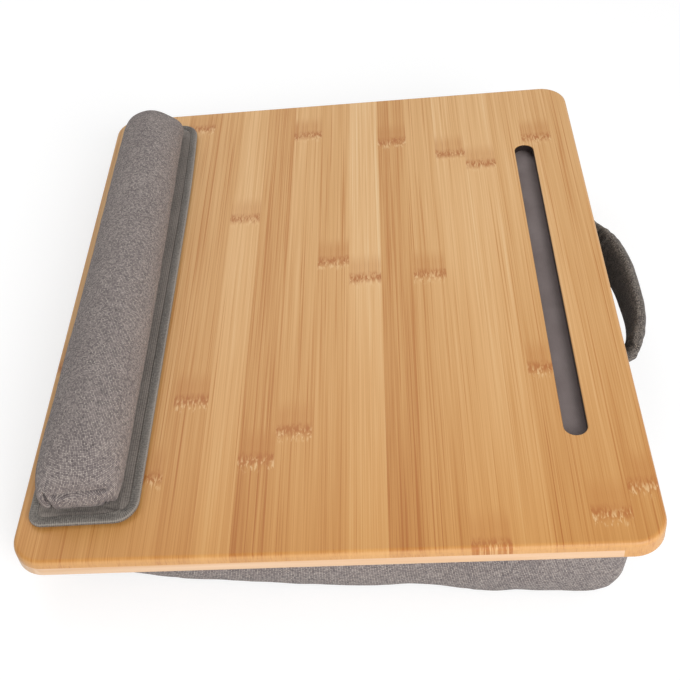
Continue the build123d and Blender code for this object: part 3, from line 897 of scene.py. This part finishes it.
# Top cloth of the cushion
# Plain grey polyester cloth closes the cushion. It swells up inside the board's frame, so it is the floor
# that shows in the phone slot, and it is flat where the battens press on it.
cover_top, cushion_top, crown_top, crown_run = -12.8, -11.6, -7.75, 9.0
cloth_half_x, cloth_half_y, cloth_corner = 182.2, 149.2, 10.5
flat_border = 24.0  # the cloth lies flat under the battens, and a little past them
cloth_step = 3.0


def crown_height(x, y):
    """The cloth's height, which is below 0 because it lies under the board's top face."""
    real_y = y + back_edge / 2
    gap = min(right_edge - abs(x), real_y, back_edge - real_y) - flat_border
    share = unit(gap / crown_run)
    wave = 0.12 * ripple(x / 40, y / 40, 1.7)
    return cushion_top + (crown_top - cushion_top) * sin(share * pi / 2) + wave * share


# Close plain weave of polyester: matt and even in colour, with threads so fine that they hardly show.
plain_yarn, plain_relief = 0.6, 0.12
plain_cloth, add = new_material("polyester_plain_cloth")
u, v = weave_place(add, True)
crowns = []
for here in (u, v):
    turn = add("Math", {0: here, 1: pi / plain_yarn}, operation="MULTIPLY")
    crowns.append(add("Math", {0: turn}, operation="SINE"))
weave = add("Math", {0: crowns[0], 1: crowns[1]}, operation="MULTIPLY")
cloud = soft_patches(add, u, v, 4, 0.06, 4)
# Painted light and shade: the raised crossings of the weave are lighter and the sunk ones darker.
tone = add("Math", {0: weave, 1: 0.08, 2: cloud}, operation="MULTIPLY_ADD")
colour = add("ValToRGB", {"Fac": tone})
set_stops(colour, (0.3, "#7A6E6C"), (0.75, "#897E7C"))
finish_surface(add, colour, weave, 0.25, plain_relief, {
    "Roughness": 0.9, "Sheen Weight": 0.1, "Specular IOR Level": 0.3,
})
top_cloth = slab(
    "cushion_top_cloth", cloth_half_x, cloth_half_y, (cloth_corner,) * 4, cloth_step,
    lambda x, y, height: on_board(x, back_edge / 2 + y, height),
    crown_height, lambda x, y: cover_top + 0.1, plain_cloth,
)
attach(top_cloth, "cushion")
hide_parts("cushion_top_panel")

# Cushion
# A wedge of loose filling in the same melange cloth as the wrist roll, sewn to the top cloth all round.
# A sewn channel parts it into two chambers, so the underside shows two lobes, and its edges puff out.
remesh_size = 5.0
cushion_swell = 4.5
channel_y, channel_half, channel_fade = 217.0, 168.0, 12.0  # it stops short of both sides
channel_width, channel_depth = 3.2, 2.6
# The filling bulges more in front than behind. It bulges again beside the handle and along the back lobe.
front_growth, back_growth, growth_start, growth_run = 1.3, 0.1, 150.0, 60.0
corner_growth, corner_start, corner_reach = 1.8, 65.0, 30.0
lobe_growth, lobe_middle, lobe_width = 1.1, 248.0, 22.0
linen_box = melange("polyester_melange_linen_cushion", linen_codes, False, linen_shade_reach)
shape = bmesh.new()
for source in ("cushion_fill_front", "cushion_baffle", "cushion_fill_back"):
    shape.from_mesh(nodes[source].data)
chambers = bpy.data.meshes.new("cushion_wedge")
shape.to_mesh(chambers)
shape.free()
cushion = make_object("cushion_wedge", chambers, linen_box)
remesh = cushion.modifiers.new("remesh", "REMESH")
remesh.mode = "VOXEL"
remesh.voxel_size = remesh_size * mm
apply_modifier(cushion, remesh)
cushion.data.materials.clear()
cushion.data.materials.append(linen_box)
seam_reach = 4
inflate(
    cushion, lambda p: p.z > cover_top - seam_reach or abs(p.y - channel_y) < seam_reach, 4, cushion_swell,
)
subdivide(cushion, 1)


def settle_cushion(piece):
    """Keeps the swollen cushion under its top cloth and on the ground, and sews in its channel."""
    for vertex, normal in [(v, v.normal.copy()) for v in piece.data.vertices]:
        x, y, z = from_board(vertex.co)
        step = 0.5 * ripple(x / 30, y / 30, z / 18) + 0.25 * ripple(x / 11, y / 11, z / 9)
        if normal.dot(up) < 0.5:
            inside = unit((channel_half - abs(x)) / channel_fade)
            pull = channel_depth * bell(y - channel_y, channel_width) * inside
            step -= pull * (1 + 0.5 * ripple(x / 7, 0, 5.5))
            step += front_growth + (back_growth - front_growth) * ease((y - growth_start) / growth_run)
            step += corner_growth * max(normal.dot(back), 0) * ease((abs(x) - corner_start) / corner_reach)
            step += lobe_growth * bell(y - lobe_middle, lobe_width)
            vertex.co += normal * (step * mm)
        over = from_board(vertex.co).z - cover_top
        if over > 0:
            vertex.co -= up * (over * mm)
        if vertex.co.z < 0:
            vertex.co.z = 0


settle_cushion(cushion)
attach(cushion, "cushion")
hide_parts("cushion_cover", "cushion_fill_front", "cushion_fill_back", "cushion_baffle")

# Handle
# A padded strap of the same cloth. Its ends leave the back seam flat, turn on edge and meet in a D-shaped
# loop, and the cover creases across where the strap turns.
hinge = from_board(Vector(joints["handle_swing"]["pos_m"]))
loop_middle, loop_half, loop_reach, loop_drop = -5.0, 58.0, 28.8, 14.0
loop_power = 0.724  # under 1, which squares the loop's ends
strap_wide, strap_thick, end_wide, end_thick = 23.0, 8.6, 17.8, 2.8
strap_lean = 78 / 180 * pi
drop_run, lean_run, swell_run = 0.35, 0.52, 0.55  # shares of the way from an end to the middle
# Its left half hangs lower, leans and lies nearer the cushion.
left_sag, left_lean, left_pull, left_width = 2.4, 0.2, 2.0, 1.2
broad_power, thin_power = 0.66, 0.72
crease_rate, crease_slant, crease_size = 40, 0.18, 0.55  # creases across the strap where it turns on edge
strap_sides, strap_steps = 32, 96
tails = (11.0, 8, 5, 2.5)  # how far the ends' rings lie inside the seam


def strap_middle(turn, drop):
    """The middle of the strap, where turn goes round the loop from the right end (0) to the left (pi)."""
    along = max(sin(turn), 0) ** loop_power
    across = loop_half * signed_power(cos(turn), loop_power)
    return Vector((loop_middle + across, hinge.y + loop_reach * along, hinge.z - drop))


def strap_ring(turn, tail):
    """One ring of the strap. tail is how far it lies inside the seam, before the loop begins."""
    near_end = min(turn, pi - turn) / (pi / 2)
    left_share = ease((turn - pi * 0.4) / (pi * 0.25)) * ease(near_end / 0.3)
    drop = loop_drop * ease(near_end / drop_run) + left_sag * left_share
    lean = (strap_lean - left_lean * left_share) * ease(near_end / lean_run)
    swell = sin(pi / 2 * min(near_end / swell_run, 1))
    wide = end_wide + (strap_wide + left_width * left_share - end_wide) * swell
    thick = end_thick + (strap_thick - end_thick) * swell
    middle = strap_middle(turn, drop)
    step = 0.02
    along = strap_middle(min(turn + step, pi), drop) - strap_middle(max(turn - step, 0), drop)
    if near_end < step:
        along = Vector((0, 1 if turn < 1 else -1, 0))
    along.normalize()
    middle.y -= tail + left_pull * left_share
    level = along.cross(Vector((0, 0, 1))).normalized()
    broad = level * cos(lean) - along.cross(level) * sin(lean)
    thin = along.cross(broad)
    creased = crease_size * ease((near_end - 0.12) / 0.15) * (1 - ease((near_end - 0.45) / 0.3))
    ring = []
    for j in range(strap_sides):
        angle = 2 * pi * j / strap_sides
        c, s = cos(angle), sin(angle)
        a, b = signed_power(c, broad_power) * wide / 2, signed_power(s, thin_power) * thick / 2
        crease = 0.5 * ripple(turn * 9, a / 9, b / 3) * swell
        crease += creased * sin(turn * crease_rate + a * crease_slant)
        crease += 0.25 * ripple(turn * 30, a / 3, b / 2) * swell
        place = middle + broad * (a + 0.35 * crease) + thin * (b * (1 + 0.16 * crease))
        ring.append(on_board(*place))
    return ring


strap_stations = [(0, tail) for tail in tails]
strap_stations += [(pi * i / strap_steps, 0) for i in range(strap_steps + 1)]
strap_stations += [(pi, tail) for tail in reversed(tails)]
# Painted shade: the same cloth, darker, with far-reaching crease shade, as the narrow loop lies under the
# board's edge.
strap_shaded_codes, strap_shade_reach = ("#231E1E", "#494240", "#70675F", "#A69D90"), 45
handle_cloth = melange("polyester_melange_linen_strap", strap_shaded_codes, True, strap_shade_reach)
handle = ring_mesh("handle_strap", [strap_ring(turn, tail) for turn, tail in strap_stations], handle_cloth)
subdivide(handle, 1)
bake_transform(handle)
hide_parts("handle_cover", "handle_core", "handle_tab_left", "handle_tab_right")

# Floor, backdrop and light
# The object stands on a plain white floor in a white room. Most of the light comes from a large lamp,
# high at the right and behind, and the rest from the room and a weaker lamp over the left front corner.
floor_half, floor_drop = 4.0, 0.2 * mm
floor_bounce, floor_shade, floor_glow = 0.82, 0.45, 0.62
room_light = 0.46
floor_corners = [(-1, -1), (1, -1), (1, 1), (-1, 1)]
floor_mesh = bpy.data.meshes.new("floor")
floor_points = [(x * floor_half, y * floor_half, -floor_drop) for x, y in floor_corners]
floor_mesh.from_pydata(floor_points, [], [(0, 1, 2, 3)])
# Matt white paint, which glows a little to the camera alone, so that it is seen as plain white.
floor_finish, add = new_material("white_floor")
seen = add("LightPath", {}).outputs["Is Camera Ray"]
shade = add("MapRange", {0: seen, 1: 0, 2: 1, 3: floor_bounce, 4: floor_shade})
paint = add("BsdfDiffuse", {"Color": shade})
glow_level = add("Math", {0: seen, 1: floor_glow}, operation="MULTIPLY")
glow = add("Emission", {"Color": (1, 1, 1, 1), "Strength": glow_level})
both_shaders = add("AddShader", {0: paint, 1: glow})
add("OutputMaterial", {"Surface": both_shaders})
floor = make_object("floor", floor_mesh, floor_finish)

world = bpy.data.worlds.new("room")
scene.world = world
world.use_nodes = True
world.node_tree.nodes.clear()
add = partial(add_node, world.node_tree)
rays = add("LightPath", {}).outputs
seen = rays["Is Camera Ray"]
for kind in ("Is Glossy Ray", "Is Transmission Ray"):
    seen = add("Math", {0: seen, 1: rays[kind]}, operation="MAXIMUM")
strength = add("MapRange", {0: seen, 1: 0, 2: 1, 3: room_light, 4: 1})
sky = add("Background", {"Color": (1, 1, 1, 1), "Strength": strength})
add("OutputWorld", {"Surface": sky})

for name, place, size, watts in (
    ("lamp_right", (1.25, 0.6, 1.0), 1.0, 21),
    ("lamp_over_left", (-0.8, -0.6, 1.3), 1.2, 5),
):
    lamp = bpy.data.lights.new(name, "AREA")
    lamp.shape = "DISK"
    lamp.size = size
    lamp.energy = watts
    lamp_object = bpy.data.objects.new(name, lamp)
    scene.collection.objects.link(lamp_object)
    lamp_object.location = place
    lamp_object.rotation_euler = (-Vector(place)).to_track_quat("-Z", "Y").to_euler()

# Camera
# The place, direction and lens were fitted to the board's outline, strips and slot in the photograph.
# The lens is shifted, because the middle of the photograph isn't where the camera pointed.
camera_place = on_board(521.8, 216.5, 484.0)
view_line = Vector((-0.7448, -0.1145, -0.6574))
camera_up = Vector((-0.6659, 0.0619, 0.7435))
to_room = board_turn.transposed()
view_line, camera_up = (to_room @ view_line).normalized(), (to_room @ camera_up).normalized()
camera_right = view_line.cross(camera_up).normalized()
camera_up = camera_right.cross(view_line)
lens = bpy.data.cameras.new("camera")
lens.sensor_width = 36
lens.lens = 60.96
lens.shift_x = 0.0840
lens.shift_y = -0.1218
camera = bpy.data.objects.new("camera", lens)
scene.collection.objects.link(camera)
aim = Matrix((camera_right, camera_up, -view_line)).transposed().to_4x4()
camera.matrix_world = Matrix.Translation(camera_place) @ aim
scene.camera = camera
scene.view_settings.view_transform = "Standard"
